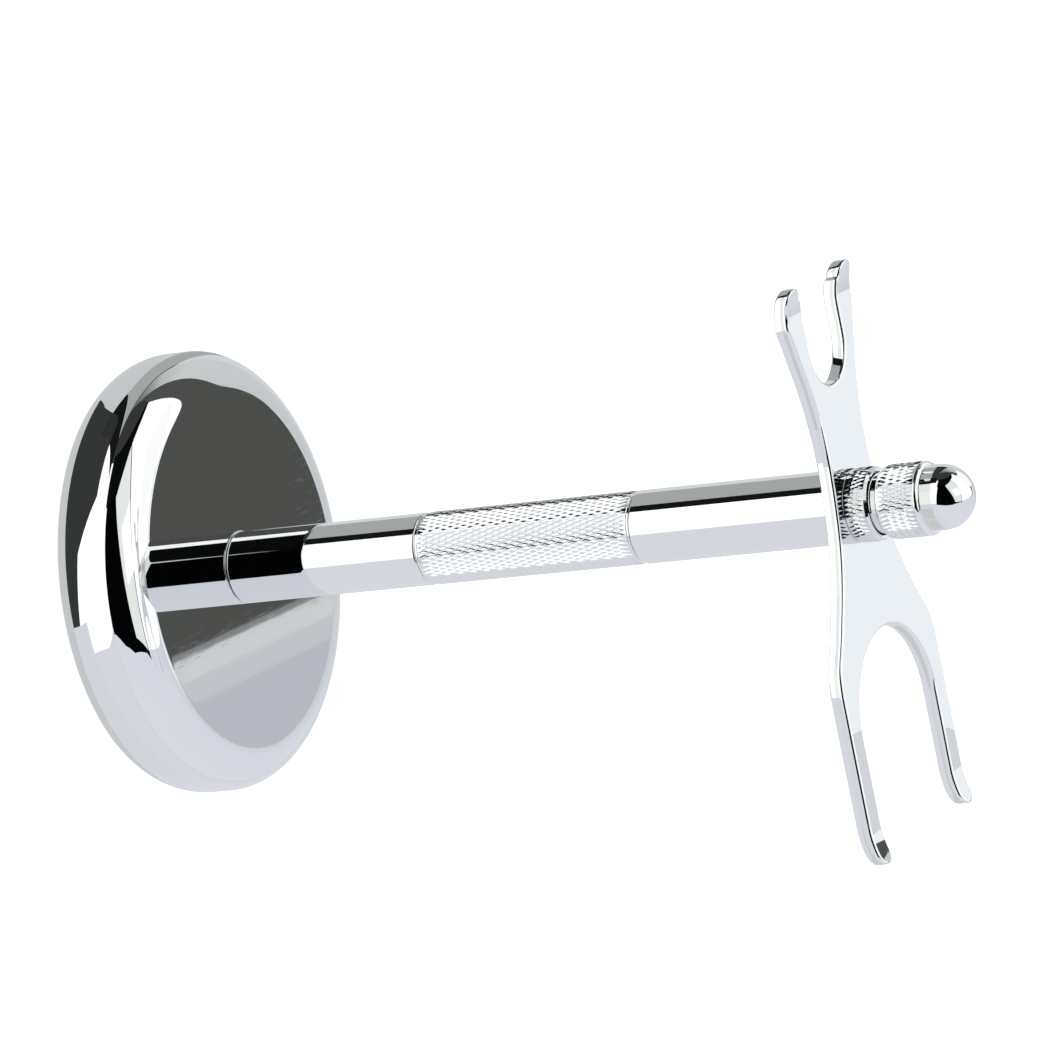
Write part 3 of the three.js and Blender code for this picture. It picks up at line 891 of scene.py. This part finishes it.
make_floor()
make_surroundings()
WHITE = (1.02, 1.02, 1.02)
LIGHT_GREY = (0.76, 0.77, 0.775)
PALE_GREY = (0.82, 0.83, 0.85)
GREENISH = (0.63, 0.645, 0.635)
CHARCOAL = (0.295, 0.3, 0.29)
DARK = (0.2, 0.21, 0.2)
BLACK = (0.08, 0.085, 0.08)
DEEP_BLACK = (0.01, 0.012, 0.015)

# Large panels, and the dark flag behind the stand that the flat top of the base mirrors.
card("panel_rear", [(-64, 62), (-0.5, 34), (17.5, 85), (-53, 103)], WHITE, 7.0)
card("panel_front", [(-52.5, 104.5), (18, 86.5), (20.5, 111), (-37, 141)], (0.89, 0.905, 0.885), 7.0)
card("panel_glow", [(-24, 97), (-2, 90), (2, 112), (-20, 121)], WHITE, 6.9)
card("flag_dark_rear", [(-88, 41), (0.2, 29.6), (1.6, 33.6), (-64, 63)], CHARCOAL, 7.5)
# The soft edge of that flag, in narrow steps.
card("streak_dim", [(0.04, 29.2), (0.1, 29.2), (2.1, 35.0), (2.04, 35.0)], (0.5, 0.505, 0.51), 7.1)
card("streak_light", [(0.1, 29.2), (0.3, 29.2), (2.35, 35.0), (2.1, 35.0)], (0.79, 0.8, 0.81), 7.1)
card("streak_fading", [(0.3, 29.2), (0.5, 29.2), (2.6, 35.0), (2.35, 35.0)], (0.75, 0.76, 0.775), 7.1)
card("haze_right", [(0.5, 29.2), (4.0, 29.2), (4.0, 35.0), (2.6, 35.0)], (0.71, 0.72, 0.75), 7.2)
# Near cards for the fork plate, which the base sees only within the white panel.
card("backdrop", [(-9.5, 23), (7.6, 23), (7.6, 30), (-9.5, 30)], (0.915, 0.93, 0.945), 0.35, PLATE_TOP)
card("backdrop_side", [(7.6, 23), (13, 23), (13, 30), (7.6, 30)], (0.81, 0.82, 0.835), 0.35, PLATE_TOP)
card("panel_low", [(-48, 22), (-12.5, 22), (-12.5, 62), (-48, 62)], (0.98, 0.98, 0.98), 0.2, PLATE_TOP)
# Flags overhead and behind the camera.
card("flag_black_left", [(-66, 55), (-50, 60), (-35, 176), (-62, 171)], (0.04, 0.045, 0.045), 7.5)
card("flag_black_mid", [(-50, 88), (20, 84), (26, 181), (-36, 172)], DEEP_BLACK, 7.6)
card("flag_black_right", [(19, 86), (30, 125), (30.5, 150), (25, 181)], DEEP_BLACK, 7.55)
card("wall_dark_left", [(-89, 40), (-62, 48), (-58, 183), (-89, 183)], DARK, 7.7)
card("sweep_front", [(-62, 168), (26, 178), (26, 183), (-62, 183)], WHITE, 7.8)

# The floor round the stand, which the rim of the base, the post and the plate's sides mirror.
RIM_INNER = 33.4 * MM
RIM = 37.2 * MM
NEAR = 46 * MM
FAR = 0.2675  # the plate's sides reflect the floor beyond this, and the post reflects it up to here
MIDDLE = 0.4
EDGE = 5.9
# A grey ring on the floor under the base's rim: painted shade under the base, which the rim mirrors.
floor_card("floor_rim", -180, 180, RIM_INNER, RIM, LIGHT_GREY)
floor_card("floor_rim_left", 60, 180, RIM, NEAR, LIGHT_GREY)
floor_card("floor_rim_right", -180, -12, RIM, NEAR, PALE_GREY)
# A dark sector on the floor just beside the base's foot: painted contact shadow, which the rim of the
# base mirrors.
floor_card("floor_contact_shadow", -12, 60, RIM, 40.5 * MM, DARK, 58 * MM)
floor_card("floor_right", -150, -22, NEAR, FAR, (0.83, 0.84, 0.86))
floor_card("floor_right_far", -150, -36, FAR, MIDDLE, (0.765, 0.775, 0.775))
floor_card("floor_right_middle", -36, -20, FAR, MIDDLE, PALE_GREY)
floor_card("floor_right_edge", -150, -20, MIDDLE, EDGE, (0.83, 0.84, 0.87))
floor_card("floor_front_far", -20, 22, FAR, MIDDLE, (0.915, 0.93, 0.905))
floor_card("floor_front_left", 22, 50, FAR, MIDDLE, (0.875, 0.9, 0.9))
floor_card("floor_behind", -232, -150, NEAR, EDGE, (0.8, 0.815, 0.83))
floor_card("floor_left_near", 70, 128, NEAR, MIDDLE, GREENISH)
floor_card("floor_left_far", 70, 128, MIDDLE, EDGE, DARK)
floor_card("floor_black_line", 50, 70, NEAR, EDGE, BLACK)

scene.view_settings.view_transform = "Standard"
